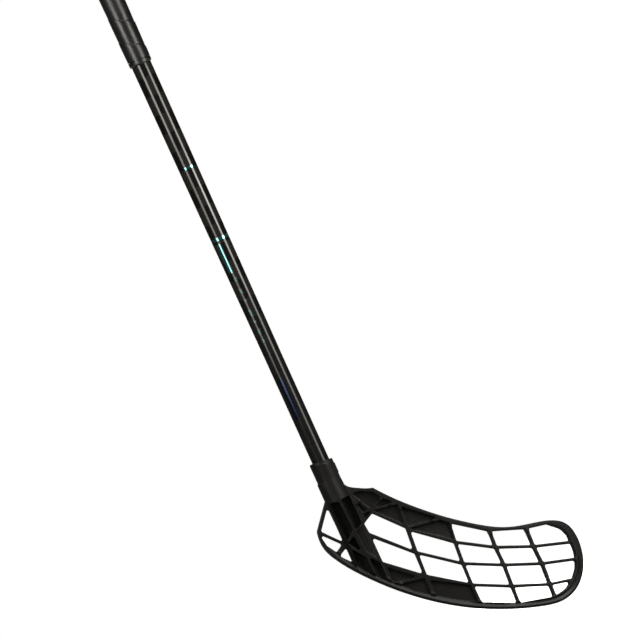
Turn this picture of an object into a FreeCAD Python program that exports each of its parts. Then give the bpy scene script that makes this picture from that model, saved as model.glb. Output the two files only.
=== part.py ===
# Floorball stick: a tapered composite tube with a wound grip, a butt plug and a moulded lattice blade.
# Frame: the tube's axis is Z, +Z runs up to the butt, +X towards the toe, and the toe hooks to +Y.
# The origin is on the axis in the middle of the upper hand's hold. All lengths are in millimetres.
import FreeCAD, Part
import math
import os
import Sketcher

Vector = FreeCAD.Vector

SIZES = {
    # Heights: the throat is the level where the blade leaves its socket.
    "hold_to_throat": 790.0,
    "hold_to_tube_top": 58.0,
    # Composite tube
    "foot_radius": 9.92,
    "grip_seat_radius": 11.5,
    "tube_wall": 1.4,
    "foot_to_taper": 160.0,
    "taper_length": 358.0,
    # Blade socket and the film of hot-melt glue in it
    "socket_floor_height": 6.0,
    "socket_floor": 4.0,
    "socket_wall": 2.6,
    "glue_room": 0.4,
    "glue_clearance": 0.03,
    "glue_below_mouth": 2.0,
    "mouth_height_heel": 49.5,
    "mouth_height_toe": 45.6,
    "collar_step": 0.65,
    "collar_top_heel": 49.2,
    "collar_top_toe": 39.0,
    "collar_foot_heel": 25.0,
    "collar_foot_toe": 29.5,
    "flare_step": 1.5,
    "flare_height": 22.0,
    "heel_boss_step": 0.7,
    "heel_boss_offset": 1.0,
    "heel_boss_height": 25.0,
    # Blade
    "blade_reach": 231.0,
    "blade_drop": 203.0,
    "hook_start": 40.0,
    "hook_radius": 610.0,
    "rim_depth": 10.0,
    "bar_depth": 7.0,
    "rim_root": 9.0,
    "bar_width": 3.0,
    "rib_width": 2.4,
    "panel_thickness": 2.6,
    "cell_corner": 2.0,
    "pocket_corner": 1.2,
    "spine_floor_depth": 1.5,
    "spine_face_depth": 6.0,
    "spine_run_front": 122.0,
    "spine_run_back": 70.0,
    # Grip band, wound as one length, and the tape ring that ends it
    "band_pitch": 29.0,
    "band_gap": 0.6,
    "band_thin": 1.55,
    "band_thick": 1.95,
    "band_clearance": 0.05,
    "throat_to_ring": 531.7,
    "ring_width": 6.0,
    "ring_thickness": 1.85,
    "ring_lip": 0.8,
    "ring_gap": 0.3,
    # Butt plug
    "plug_length": 30.0,
    "plug_clearance": 0.06,
    "plug_wall": 2.2,
    "plug_lead": 1.5,
    "cap_radius": 13.6,
    "cap_height": 4.5,
    "cap_edge": 1.4,
    "seat_gap": 0.05,
    # Blade screw, driven from the far side of the socket
    "screw_height": 19.0,
    "screw_seat": 12.1,
    "screw_radius": 1.75,
    "screw_clearance": 0.1,
    "screw_length": 9.0,
    "screw_tip": 1.6,
    "screw_head_radius": 3.5,
    "screw_head_height": 2.1,
    "screw_head_edge": 0.6,
    "screw_pocket_radius": 4.1,
    "recess_width": 1.1,
    "recess_span": 4.2,
    "recess_depth": 1.2,
    # One overrun serves every cut
    "overrun": 5.0,
}

# The blade's outline, as shares of its reach along X and of its drop along Z, from the throat.
# The throat curve runs from the socket to the crest, the edge from the crest round the toe to the heel.
THROAT_SHARES = [(0.05, 0.088), (0.068, 0.049), (0.1066, 0.0205), (0.1456, -0.0025), (0.175, -0.0132)]
EDGE_SHARES = [
    (0.175, -0.0132), (0.2643, -0.1346), (0.3607, -0.244), (0.4607, -0.3427), (0.5406, -0.4108),
    (0.6134, -0.4665), (0.6737, -0.5032), (0.746, -0.5325), (0.8641, -0.5635), (0.923, -0.5865),
    (0.9766, -0.6327), (0.9959, -0.6896), (0.9966, -0.7788), (0.9746, -0.8667), (0.9372, -0.9343),
    (0.8715, -0.9905), (0.7829, -1.0085), (0.6898, -0.9875), (0.5892, -0.9498), (0.4009, -0.853),
    (0.1707, -0.6742), (-0.0091, -0.4731), (-0.1332, -0.2819), (-0.1585, -0.2163), (-0.1632, -0.1499),
    (-0.1571, -0.1074),
]
HEEL_SHARES = [(-0.1571, -0.1074), (-0.055, 0.034), (0.0, 0.06)]

# Cross bars of the lattice: where each one meets the top rim, the three long bars and the sole rim.
CROSS_BAR_SHARES = [
    [(0.26, -0.17), (0.249, -0.3), (0.24, -0.436), (0.234, -0.574), (0.236, -0.685)],
    [(0.445, -0.353), (0.433, -0.472), (0.425, -0.597), (0.421, -0.7225), (0.423, -0.838)],
    [(0.61, -0.488), (0.605, -0.59), (0.607, -0.697), (0.6, -0.821), (0.595, -0.928)],
    [(0.782, -0.56), (0.779, -0.672), (0.783, -0.777), (0.776, -0.898), (0.773, -0.978)],
]
# The inner edge of the toe's rim, split where the three long bars meet it.
TOE_EDGE_SHARES = [
    [(0.894, -0.586), (0.947, -0.64), (0.964, -0.691), (0.965, -0.738)],
    [(0.965, -0.738), (0.963, -0.785), (0.953, -0.833)],
    [(0.953, -0.833), (0.93, -0.882), (0.894, -0.927)],
    [(0.894, -0.927), (0.845, -0.962)],
]
# Open cells beside the spine and behind it, by their corners.
SPINE_CELL_SHARES = [
    [(0.122, -0.141), (0.066, -0.174), (0.071, -0.231), (0.231, -0.418), (0.24, -0.291)],
    [(0.071, -0.259), (0.072, -0.406), (0.227, -0.559), (0.23, -0.439)],
]
HEEL_CELL_SHARES = [
    [(-0.063, -0.007), (-0.141, -0.116), (-0.058, -0.224)],
    [(-0.155, -0.122), (-0.073, -0.228), (-0.113, -0.255), (-0.143, -0.2)],
    [(-0.06, -0.253), (-0.106, -0.281), (-0.054, -0.354)],
]
# Pockets in the closed panels above and below the open cells, by the middles of the ribs round them.
PANEL_POCKET_SHARES = [
    [(0.062, 0.008), (0.106, 0.006), (0.145, -0.017), (0.166, -0.03), (0.2, -0.083), (0.121, -0.119)],
    [(0.064, -0.01), (0.118, -0.119), (0.076, -0.119)],
    [(0.076, -0.119), (0.121, -0.119), (0.121, -0.134), (0.072, -0.164)],
    [(0.124, -0.119), (0.2, -0.084), (0.254, -0.145)],
    [(0.135, -0.125), (0.256, -0.148), (0.246, -0.282), (0.13, -0.137)],
    [(0.256, -0.158), (0.418, -0.321), (0.25, -0.292)],
    [(0.25, -0.294), (0.412, -0.324), (0.448, -0.36), (0.438, -0.466), (0.262, -0.316)],
    [(0.075, -0.431), (0.214, -0.57), (0.086, -0.544), (0.067, -0.528)],
    [(0.088, -0.549), (0.229, -0.579), (0.226, -0.692), (0.15, -0.632)],
    [(0.237, -0.595), (0.419, -0.719), (0.419, -0.831), (0.354, -0.794), (0.291, -0.748), (0.234, -0.704)],
]
# Pockets down the spine, as shares of the socket's radius along X and of the blade's drop along Z.
SPINE_POCKET_SHARES = [
    [(-0.87, 0.008), (-0.17, -0.01), (-0.05, -0.183), (-0.85, -0.222)],
    [(-0.85, -0.236), (-0.16, -0.211), (-0.06, -0.312)],
    [(-0.84, -0.27), (0.06, -0.346), (0.1, -0.452), (-0.87, -0.376)],
    [(0.08, -0.003), (0.94, 0.004), (0.95, -0.165), (0.2, -0.188)],
    [(0.3, -0.352), (1.0, -0.404), (1.05, -0.518), (0.34, -0.468)],
]
# The plain face between the spine's diagonals, sunk under the ribs and open on the toe's side.
SPINE_FACE_SHARES = [(0.2, -0.2), (1.25, -0.169), (1.25, -0.402), (0.32, -0.318)]
FILLET_SIDE_SHARE = 0.42
NEARLY_STRAIGHT_DEGREES = 1.0
GAP_CHECK_POINTS_PER_TURN = 72


class Length:
    """A length, as a number and as the expression that ties it to the sheet."""

    def __init__(self, number, words):
        self.number = number
        self.words = words

    def __add__(self, other):
        return Length(self.number + other.number, f"({self.words} + {other.words})")

    def __sub__(self, other):
        return Length(self.number - other.number, f"({self.words} - {other.words})")

    def __neg__(self):
        return Length(-self.number, f"(-{self.words})")

    def half(self):
        """Half of the length."""
        return Length(self.number / 2, f"({self.words} / 2)")


class Sheet:
    """The document's sheet of driving sizes, each one read as a Length by its name."""

    def __init__(self, document, sizes):
        self.cells = document.addObject("Spreadsheet::Sheet", "Sizes")
        for row, (name, value) in enumerate(sizes.items(), start=1):
            self.cells.set(f"A{row}", name)
            self.cells.set(f"B{row}", str(value))
            self.cells.setAlias(f"B{row}", name)
        document.recompute()

    def __getattr__(self, name):
        return Length(float(getattr(self.cells, name)), f"Sizes.{name}")


doc = FreeCAD.newDocument("floorball_stick")
S = Sheet(doc, SIZES)
ZERO = Length(0.0, "0")

# Heights and radii that several pieces share
throat = -S.hold_to_throat
tube_foot = throat + S.socket_floor_height + S.socket_floor
tube_top = S.hold_to_tube_top
tube_length = tube_top - tube_foot
glue_radius = S.foot_radius + S.glue_room
socket_radius = glue_radius + S.socket_wall
bore_radius = S.grip_seat_radius - S.tube_wall
ring_foot = throat + S.throat_to_ring
band_foot = ring_foot + S.ring_width + S.ring_gap
band_top = tube_top - S.ring_gap
screw_level = throat + S.screw_height
hole_radius = S.screw_radius + S.screw_clearance


def tie(item, **bindings):
    """Bind properties of a document object to lengths of the sheet."""
    for path, length in bindings.items():
        item.setExpression(path.replace("__", "."), length.words)


def origin_plane(body, role):
    """The body's own origin plane of that role."""
    return next(f for f in body.Origin.OriginFeatures if f.Role == role)


def outline_sketch(body, name, role, corners):
    """A closed sketch of straight sides whose corners are all tied to the sheet."""
    sketch = body.newObject("Sketcher::SketchObject", name)
    sketch.AttachmentSupport = [(origin_plane(body, role), "")]
    sketch.MapMode = "FlatFace"
    count = len(corners)
    for i in range(count):
        start, end = corners[i], corners[(i + 1) % count]
        side = Part.LineSegment(
            Vector(start[0].number, start[1].number, 0), Vector(end[0].number, end[1].number, 0)
        )
        sketch.addGeometry(side)
    for i in range(count):
        sketch.addConstraint(Sketcher.Constraint("Coincident", i, 2, (i + 1) % count, 1))
    for i, (across, up) in enumerate(corners):
        for kind, length in (("DistanceX", across), ("DistanceY", up)):
            if length is ZERO:
                axis = -2 if kind == "DistanceX" else -1
                sketch.addConstraint(Sketcher.Constraint("PointOnObject", i, 1, axis))
                continue
            index = sketch.addConstraint(Sketcher.Constraint(kind, -1, 1, i, 1, length.number))
            sketch.setExpression(f"Constraints[{index}]", length.words)
    return sketch


def turned_body(name, corners):
    """A body turned about its own Z axis from a profile of radius and height."""
    body = doc.addObject("PartDesign::Body", name)
    profile = outline_sketch(body, name + "_profile", "XZ_Plane", corners)
    turn = body.newObject("PartDesign::Revolution", name + "_turn")
    turn.Profile = profile
    turn.ReferenceAxis = (profile, ["V_Axis"])
    turn.Angle = 360
    return body


def cylinder(name, radius, height, foot):
    """A round solid along Z from its foot."""
    item = doc.addObject("Part::Cylinder", name)
    tie(item, Radius=radius, Height=height, Placement__Base__z=foot)
    return item


def far_side_cylinder(name, radius, start, length):
    """A round solid along +Y at the screw's height, from a distance off the axis."""
    item = doc.addObject("Part::Cylinder", name)
    item.Placement = FreeCAD.Placement(Vector(), FreeCAD.Rotation(Vector(1, 0, 0), -90))
    tie(item, Radius=radius, Height=length, Placement__Base__y=start, Placement__Base__z=screw_level)
    return item


def feature(name, shape):
    """A document object that holds a shape made in this source."""
    item = doc.addObject("Part::Feature", name)
    item.Shape = shape
    return item


def cut(name, base, tool):
    """The base with the tool taken out of it."""
    item = doc.addObject("Part::Cut", name)
    item.Base = base
    item.Tool = tool
    return item


def fuse(name, items):
    """Several items joined into one."""
    item = doc.addObject("Part::MultiFuse", name)
    item.Shapes = items
    return item


def make_shaft_tube():
    """The hollow tube: straight in the socket, tapered above it, straight again under the grip."""
    taper_top = S.foot_to_taper + S.taper_length
    body = turned_body("tube_stock", [
        (S.foot_radius - S.tube_wall, ZERO),
        (S.foot_radius, ZERO),
        (S.foot_radius, S.foot_to_taper),
        (S.grip_seat_radius, taper_top),
        (S.grip_seat_radius, tube_length),
        (bore_radius, tube_length),
        (bore_radius, taper_top),
        (S.foot_radius - S.tube_wall, S.foot_to_taper),
    ])
    tie(body, Placement__Base__z=tube_foot)
    hole = far_side_cylinder("tube_screw_hole", hole_radius, ZERO, S.foot_radius + S.overrun)
    return cut("shaft_tube", body, hole)


def make_hosel_adhesive():
    """The film of hot-melt glue between tube and socket, pierced by the screw."""
    height = S.mouth_height_toe - S.glue_below_mouth - S.socket_floor_height - S.socket_floor
    outer = cylinder("glue_outside", glue_radius - S.glue_clearance, height, tube_foot)
    inner = cylinder(
        "glue_inside", S.foot_radius + S.glue_clearance, height + S.overrun + S.overrun, tube_foot - S.overrun
    )
    hole = far_side_cylinder("glue_screw_hole", hole_radius, ZERO, glue_radius + S.overrun)
    return cut("hosel_adhesive", cut("glue_sleeve", outer, inner), hole)


def hook_angle(x):
    """How far the blade's surface has turned towards +Y at this reach, in radians."""
    beyond = max(0.0, x - S.hook_start.number)
    return math.asin(beyond / S.hook_radius.number)


def hook_offset(x):
    """How far the middle of the blade lies towards +Y at this reach."""
    return S.hook_radius.number * (1 - math.cos(hook_angle(x)))


def at_blade(share):
    """The flat place of a pair of blade shares, as (x, z)."""
    return share[0] * S.blade_reach.number, throat.number + share[1] * S.blade_drop.number


def at_spine(share):
    """The flat place of a pair of spine shares, as (x, z)."""
    return share[0] * socket_radius.number, throat.number + share[1] * S.blade_drop.number


def cross(a, b):
    """The flat cross product, positive where b turns left from a."""
    return a[0] * b[1] - a[1] * b[0]


def turning_left(points):
    """The same closed outline, in the order that turns left."""
    area = sum(cross(points[i - 1], points[i]) for i in range(len(points)))
    return points if area > 0 else points[::-1]


def inset(points, gap):
    """A closed outline moved inwards by a gap on every side."""
    points = turning_left(points)
    count = len(points)
    moved = []
    for i in range(count):
        before, here, after = points[i - 1], points[i], points[(i + 1) % count]
        first = (here[0] - before[0], here[1] - before[1])
        second = (after[0] - here[0], after[1] - here[1])
        first_long, second_long = math.hypot(*first), math.hypot(*second)
        one = (first[0] / first_long, first[1] / first_long)
        two = (second[0] / second_long, second[1] / second_long)
        turn = cross(one, two)
        if abs(turn) < math.sin(math.radians(NEARLY_STRAIGHT_DEGREES)):
            moved.append((here[0] - gap * one[1], here[1] + gap * one[0]))
            continue
        moved.append((here[0] + gap * (two[0] - one[0]) / turn, here[1] + gap * (two[1] - one[1]) / turn))
    return moved


def rounded_wire(corners, radius):
    """A closed wire through 3D corners, each rounded as far as its sides leave room for."""
    count = len(corners)
    ends = []
    for i in range(count):
        here = corners[i]
        back = corners[i - 1] - here
        ahead = corners[(i + 1) % count] - here
        half = back.getAngle(ahead) / 2
        reach = min(radius / math.tan(half), FILLET_SIDE_SHARE * min(back.Length, ahead.Length))
        back.normalize()
        ahead.normalize()
        inward = back + ahead
        inward.normalize()
        bend = reach * math.tan(half)
        middle = here + inward * (reach / math.cos(half) - bend)
        ends.append((here + back * reach, middle, here + ahead * reach))
    edges = []
    for i in range(count):
        start, middle, end = ends[i]
        edges.append(Part.Arc(start, middle, end).toShape())
        edges.append(Part.LineSegment(end, ends[(i + 1) % count][0]).toShape())
    return Part.Wire(edges)


def blade_cutter(points, radius, front, back):
    """A prism square to the blade's surface over a flat outline, from one depth to another."""
    middle = sum(x for x, _ in points) / len(points)
    angle = hook_angle(middle)
    across = Vector(-math.sin(angle), math.cos(angle), 0)
    slope = math.tan(angle)
    on_surface = [Vector(x, hook_offset(middle) + slope * (x - middle), z) for x, z in points]
    wire = rounded_wire([p + across * front for p in on_surface], radius)
    return Part.Face(wire).extrude(across * (back - front))


def curve_through(points):
    """A smooth edge through flat places."""
    curve = Part.BSplineCurve()
    curve.interpolate([Vector(x, 0, z) for x, z in points])
    return curve.toShape()


def flat_lines(places):
    """Straight edges from each flat place to the next."""
    points = [Vector(x, 0, z) for x, z in places]
    return [Part.LineSegment(a, b).toShape() for a, b in zip(points, points[1:])]


def blade_prism(edges):
    """A closed flat outline drawn out along Y, past the blade on both sides."""
    depth = S.blade_reach.number
    face = Part.Face(Part.Wire(edges))
    face.translate(Vector(0, -depth, 0))
    return face.extrude(Vector(0, depth + depth, 0))


def blade_outline():
    """The blade's outline from its throat round the toe to the heel, drawn out along Y."""
    curve = [at_blade(share) for share in THROAT_SHARES]
    edge = [at_blade(share) for share in EDGE_SHARES]
    heel = [at_blade(share) for share in HEEL_SHARES]
    return blade_prism([curve_through(curve), curve_through(edge)] + flat_lines(heel + curve[:1]))


def right_of(points, gap):
    """An open line of flat places moved to its right-hand side by a gap."""
    last = len(points) - 1
    moved = []
    for i, here in enumerate(points):
        before, after = points[max(i - 1, 0)], points[min(i + 1, last)]
        across, up = after[0] - before[0], after[1] - before[1]
        along = math.hypot(across, up)
        moved.append((here[0] + gap * up / along, here[1] - gap * across / along))
    return moved


def hooked_slab(depth):
    """A slab of that depth about the blade's hooked middle surface, taller than the blade."""
    overrun = S.overrun.number
    start = -S.blade_reach.number
    bend = S.hook_start.number
    radius = S.hook_radius.number
    end_angle = hook_angle(S.blade_reach.number + overrun)
    half = depth / 2

    def on_bend(angle, offset):
        reach = radius - offset
        return Vector(bend + reach * math.sin(angle), radius - reach * math.cos(angle), 0)

    front = [Vector(start, -half, 0), Vector(bend, -half, 0)]
    back = [Vector(bend, half, 0), Vector(start, half, 0)]
    edges = [
        Part.LineSegment(*front).toShape(),
        Part.Arc(front[1], on_bend(end_angle / 2, -half), on_bend(end_angle, -half)).toShape(),
        Part.LineSegment(on_bend(end_angle, -half), on_bend(end_angle, half)).toShape(),
        Part.Arc(on_bend(end_angle, half), on_bend(end_angle / 2, half), back[0]).toShape(),
        Part.LineSegment(*back).toShape(),
        Part.LineSegment(back[1], front[0]).toShape(),
    ]
    low = throat.number - S.blade_drop.number - overrun
    face = Part.Face(Part.Wire(edges))
    face.translate(Vector(0, 0, low))
    return face.extrude(Vector(0, 0, S.blade_drop.number + S.mouth_height_heel.number + overrun))


def lattice_cells():
    """Prisms for all the openings of the lattice, right through the blade."""
    half_bar = S.bar_width.number / 2
    through = S.rim_depth.number
    columns = [[at_blade(share) for share in column] for column in CROSS_BAR_SHARES]
    outlines = []
    for left, right in zip(columns, columns[1:]):
        rows = (1, 2) if left is columns[0] else (0, 1, 2, 3)
        for row in rows:
            outlines.append([left[row], right[row], right[row + 1], left[row + 1]])
    for row, toe_edge in enumerate(TOE_EDGE_SHARES):
        last = columns[-1]
        outlines.append([last[row]] + [at_blade(share) for share in toe_edge] + [last[row + 1]])
    cells = [inset(outline, half_bar) for outline in outlines]
    cells += [[at_blade(share) for share in cell] for cell in SPINE_CELL_SHARES + HEEL_CELL_SHARES]
    corner = S.cell_corner.number
    return [blade_cutter(cell, corner, -through, through) for cell in cells]


def panel_pockets():
    """Prisms for the pockets that leave the closed panels as a thin back wall."""
    half_rib = S.rib_width.number / 2
    floor = S.bar_depth.number / 2 - S.panel_thickness.number
    corner = S.pocket_corner.number
    pockets = [inset([at_blade(share) for share in pocket], half_rib) for pocket in PANEL_POCKET_SHARES]
    return [blade_cutter(pocket, corner, -S.rim_depth.number, floor) for pocket in pockets]


def spine_pockets():
    """Prisms for the channel down the spine, between its walls, mid rib and diagonals, and for its plain face."""
    front = -socket_radius.number - S.overrun.number
    corner = S.pocket_corner.number
    pockets = [[at_spine(share) for share in pocket] for pocket in SPINE_POCKET_SHARES]
    cutters = [blade_cutter(pocket, corner, front, S.spine_floor_depth.number) for pocket in pockets]
    face = [at_spine(share) for share in SPINE_FACE_SHARES]
    return cutters + [blade_cutter(face, corner, front, -S.spine_face_depth.number)]


def make_lattice():
    """The hooked plate: a deep rim, shallower bars inside it, and all of its openings."""
    plate = blade_outline().common(hooked_slab(S.rim_depth.number))
    rim_inside = right_of([at_blade(share) for share in EDGE_SHARES], S.rim_root.number)
    inside = blade_prism([curve_through(rim_inside)] + flat_lines([rim_inside[-1], rim_inside[0]]))
    relief = inside.cut(hooked_slab(S.bar_depth.number))
    return plate.cut(relief).cut(lattice_cells() + panel_pockets())


def flat_prism(corners):
    """A prism along Y, both ways past the socket, over a flat outline of (x, z)."""
    depth = socket_radius.number + S.overrun.number
    points = [Vector(x, -depth, z) for x, z in corners]
    face = Part.Face(Part.makePolygon(points + points[:1]))
    return face.extrude(Vector(0, depth + depth, 0))


def level(height):
    """A height above the throat, in the part's frame."""
    return throat.number + height.number


def make_socket():
    """The outside of the socket: a slanted mouth, a raised collar, a flared foot and a boss at the heel."""
    wide = socket_radius.number + S.overrun.number
    base = Part.makeCylinder(
        socket_radius.number, S.mouth_height_heel.number, Vector(0, 0, throat.number)
    )
    mouth = flat_prism([
        (-wide, throat.number), (wide, throat.number),
        (wide, level(S.mouth_height_toe)), (-wide, level(S.mouth_height_heel)),
    ])
    collar_band = flat_prism([
        (-wide, level(S.collar_foot_heel)), (wide, level(S.collar_foot_toe)),
        (wide, level(S.collar_top_toe)), (-wide, level(S.collar_top_heel)),
    ])
    collar = Part.makeCylinder(
        socket_radius.number + S.collar_step.number, S.mouth_height_heel.number, Vector(0, 0, throat.number)
    )
    flare = Part.makeCone(
        socket_radius.number + S.flare_step.number, socket_radius.number,
        S.flare_height.number, Vector(0, 0, throat.number),
    )
    heel_boss = Part.makeCylinder(
        socket_radius.number + S.heel_boss_step.number, S.heel_boss_height.number,
        Vector(-S.heel_boss_offset.number, 0, throat.number),
    )
    return base.common(mouth).fuse([collar.common(collar_band), flare, heel_boss])


def make_spine():
    """The socket's column carried down to the sole, thinning from the socket to the rim's depth."""
    radius = socket_radius.number + S.flare_step.number
    half_rim = S.rim_depth.number / 2
    low = throat.number - S.blade_drop.number
    column = Part.makeCylinder(radius, S.blade_drop.number, Vector(0, 0, low))
    side = [
        Vector(0, -radius, throat.number), Vector(0, radius, throat.number),
        Vector(0, half_rim, throat.number - S.spine_run_back.number), Vector(0, half_rim, low),
        Vector(0, -half_rim, low), Vector(0, -half_rim, throat.number - S.spine_run_front.number),
    ]
    wedge_face = Part.Face(Part.makePolygon(side + side[:1]))
    wedge_face.translate(Vector(-S.blade_reach.number, 0, 0))
    wedge = wedge_face.extrude(Vector(S.blade_reach.number * 2, 0, 0))
    return column.common(wedge).common(blade_outline())


def make_blade():
    """The one-piece moulding: lattice, spine and socket, bored for the tube and the screw."""
    spine = make_spine().cut(spine_pockets())
    lattice = make_lattice().cut(spine_pockets())
    solid = fuse("blade_stock", [
        feature("lattice", lattice), feature("spine", spine), feature("socket", make_socket()),
    ])
    bore = cylinder("socket_bore", glue_radius, S.mouth_height_heel + S.overrun, tube_foot)
    reach = socket_radius + S.flare_step + S.overrun
    hole = far_side_cylinder("socket_screw_hole", hole_radius, ZERO, reach)
    seat = far_side_cylinder("screw_pocket", S.screw_pocket_radius, S.screw_seat, reach)
    return cut("blade", solid, fuse("blade_holes", [bore, hole, seat]))


def make_blade_screw():
    """The pan-head screw that pins the socket to the tube, with a cross recess."""
    body = turned_body("blade_screw", [
        (ZERO, -S.screw_length),
        (S.screw_radius, S.screw_tip - S.screw_length),
        (S.screw_radius, S.seat_gap),
        (S.screw_head_radius, S.seat_gap),
        (S.screw_head_radius, S.screw_head_height - S.screw_head_edge),
        (S.screw_head_radius - S.screw_head_edge, S.screw_head_height),
        (ZERO, S.screw_head_height),
    ])
    body.Placement = FreeCAD.Placement(Vector(), FreeCAD.Rotation(Vector(1, 0, 0), -90))
    tie(body, Placement__Base__y=S.screw_seat, Placement__Base__z=screw_level)
    span, width = S.recess_span, S.recess_width
    for name, across, along in (("recess_one", span, width), ("recess_two", width, span)):
        slot = body.newObject("PartDesign::SubtractiveBox", name)
        tie(slot, Length=across, Width=along, Height=S.recess_depth + S.overrun)
        tie(slot, Placement__Base__x=-across.half(), Placement__Base__y=-along.half())
        tie(slot, Placement__Base__z=S.screw_head_height - S.recess_depth)
    return body


def make_butt_cap():
    """The plug in the tube's open top, with a flat cap that covers the end of the grip."""
    plug_radius = bore_radius - S.plug_clearance
    body = turned_body("butt_cap", [
        (plug_radius - S.plug_wall, -S.plug_length),
        (plug_radius - S.plug_lead, -S.plug_length),
        (plug_radius, S.plug_lead - S.plug_length),
        (plug_radius, S.seat_gap),
        (S.cap_radius, S.seat_gap),
        (S.cap_radius, S.cap_height - S.cap_edge),
        (S.cap_radius - S.cap_edge, S.cap_height),
        (ZERO, S.cap_height),
        (ZERO, ZERO),
        (plug_radius - S.plug_wall, ZERO),
    ])
    tie(body, Placement__Base__z=tube_top)
    return body


def make_grip_finish_band():
    """The ring of tape that closes the lower end of the wound band."""
    inside = S.grip_seat_radius + S.band_clearance
    outside = inside + S.ring_thickness
    body = turned_body("grip_finish_band", [
        (inside, ZERO),
        (outside - S.ring_lip, ZERO),
        (outside, S.ring_lip),
        (outside, S.ring_width),
        (inside, S.ring_width),
    ])
    tie(body, Placement__Base__z=ring_foot)
    return body


def make_grip_wrap():
    """The wound band, thicker along the edge that laps the turn above, trimmed square at both ends."""
    pitch = S.band_pitch.number
    width = pitch - S.band_gap.number
    inner = S.grip_seat_radius.number + S.band_clearance.number
    thin, thick = inner + S.band_thin.number, inner + S.band_thick.number
    grip_length = band_top.number - band_foot.number
    turns = math.ceil(grip_length / pitch) + 1
    foot = band_foot.number - pitch
    corners = [(inner, foot), (thin, foot), (thick, foot + width), (inner, foot + width)]
    section = [Vector(radius, 0, height) for radius, height in corners]
    route = Part.makeLongHelix(pitch, pitch * turns, inner, 0, True)
    route.translate(section[0] - Vector(inner, 0, 0))
    winding = Part.BRepOffsetAPI.MakePipeShell(route)
    winding.setBiNormalMode(Vector(0, 0, 1))
    winding.add(Part.makePolygon(section + section[:1]), False, False)
    winding.build()
    winding.makeSolid()
    room = Part.makeCylinder(thick + S.overrun.number, grip_length, Vector(0, 0, band_foot.number))
    print("grip band turns", round(grip_length / pitch, 2))
    print("grip band gap to itself, mm", round(band_self_gap(corners, pitch), 3))
    return feature("grip_wrap", winding.shape().common(room))


def band_self_gap(corners, pitch):
    """The least distance between points on one turn's upper edge and the next turn's lower edge."""
    low_radius, low = corners[1]
    high_radius, high = corners[2]
    steps = GAP_CHECK_POINTS_PER_TURN
    turn = [2 * math.pi * i / steps for i in range(-steps // 2, steps // 2)]
    upper = Vector(high_radius, 0, high)
    lower = [
        Vector(low_radius * math.cos(a), low_radius * math.sin(a), low + pitch - pitch * a / (2 * math.pi))
        for a in turn
    ]
    return min(upper.distanceToPoint(point) for point in lower)


NODES = [
    make_shaft_tube(), make_blade(), make_hosel_adhesive(), make_blade_screw(),
    make_grip_wrap(), make_grip_finish_band(), make_butt_cap(),
]
doc.recompute()

for item in doc.Objects:
    if "Invalid" in item.State or "Error" in item.State:
        raise RuntimeError(f"{item.Name} did not compute: {item.State}")
for node in NODES:
    node.Label = node.Name
    shape = node.Shape
    if shape.isNull() or not shape.isValid() or len(shape.Solids) != 1:
        raise RuntimeError(f"{node.Label} is not one valid solid: {len(shape.Solids)} solids")

os.makedirs("parts", exist_ok=True)
for node in NODES:
    node.Shape.exportStep(f"parts/{node.Label}.step")
    box = node.Shape.BoundBox
    print(f"{node.Label}: {node.Shape.Volume:.0f} mm3, Z {box.ZMin:.1f} to {box.ZMax:.1f}")
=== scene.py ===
"""Looks of a floorball stick: lacquered tube, moulded lattice blade, wound grip and butt plug.

Frame: metres, the tube's axis is Z with the butt up, +X points to the blade's toe, and the toe hooks to +Y.
"""
import logging
import math
from dataclasses import dataclass
from enum import Enum
from typing import Sequence, Union

import bpy
import numpy as np
from mathutils import Matrix, Vector


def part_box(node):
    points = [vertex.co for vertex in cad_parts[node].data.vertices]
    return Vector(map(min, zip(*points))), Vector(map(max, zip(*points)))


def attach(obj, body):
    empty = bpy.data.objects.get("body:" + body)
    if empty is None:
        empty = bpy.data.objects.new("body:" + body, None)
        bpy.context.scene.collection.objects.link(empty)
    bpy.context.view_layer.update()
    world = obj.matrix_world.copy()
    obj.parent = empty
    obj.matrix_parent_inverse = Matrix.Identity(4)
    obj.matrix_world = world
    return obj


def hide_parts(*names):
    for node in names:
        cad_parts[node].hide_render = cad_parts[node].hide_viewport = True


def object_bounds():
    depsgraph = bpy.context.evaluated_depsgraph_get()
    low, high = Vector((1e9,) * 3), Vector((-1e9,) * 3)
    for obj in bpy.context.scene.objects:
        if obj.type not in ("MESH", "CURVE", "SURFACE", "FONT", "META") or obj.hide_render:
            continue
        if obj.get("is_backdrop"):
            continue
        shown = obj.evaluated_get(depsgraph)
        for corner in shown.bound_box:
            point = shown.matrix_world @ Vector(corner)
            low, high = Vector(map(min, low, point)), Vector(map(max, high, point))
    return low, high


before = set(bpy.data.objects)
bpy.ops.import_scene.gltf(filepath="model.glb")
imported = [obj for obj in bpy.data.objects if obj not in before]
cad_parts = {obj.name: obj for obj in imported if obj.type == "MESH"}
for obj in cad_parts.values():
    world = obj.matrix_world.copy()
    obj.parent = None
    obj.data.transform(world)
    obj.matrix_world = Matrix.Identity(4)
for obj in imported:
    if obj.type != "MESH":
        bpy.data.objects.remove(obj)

LOG = logging.getLogger("floorball_stick")
MM = 0.001
JOIN_DISTANCE = 0.001 * MM
WELD_DISTANCE = 0.01 * MM
# The level where the blade leaves its socket. The tube's print is measured from it.
THROAT = -790.0 * MM
# The tube's radius under the grip.
SEAT_RADIUS = 11.5 * MM
# The level of the screw's axis.
SCREW_LEVEL = -771.0 * MM
# Most values of a noise texture lie between these.
NOISE_LOW = 0.3
NOISE_HIGH = 0.7
# The Mix node's sockets for colours and numbers: two inputs and the result.
MIX_SOCKETS = {"RGBA": (6, 7, 2), "FLOAT": (2, 3, 0)}

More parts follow.
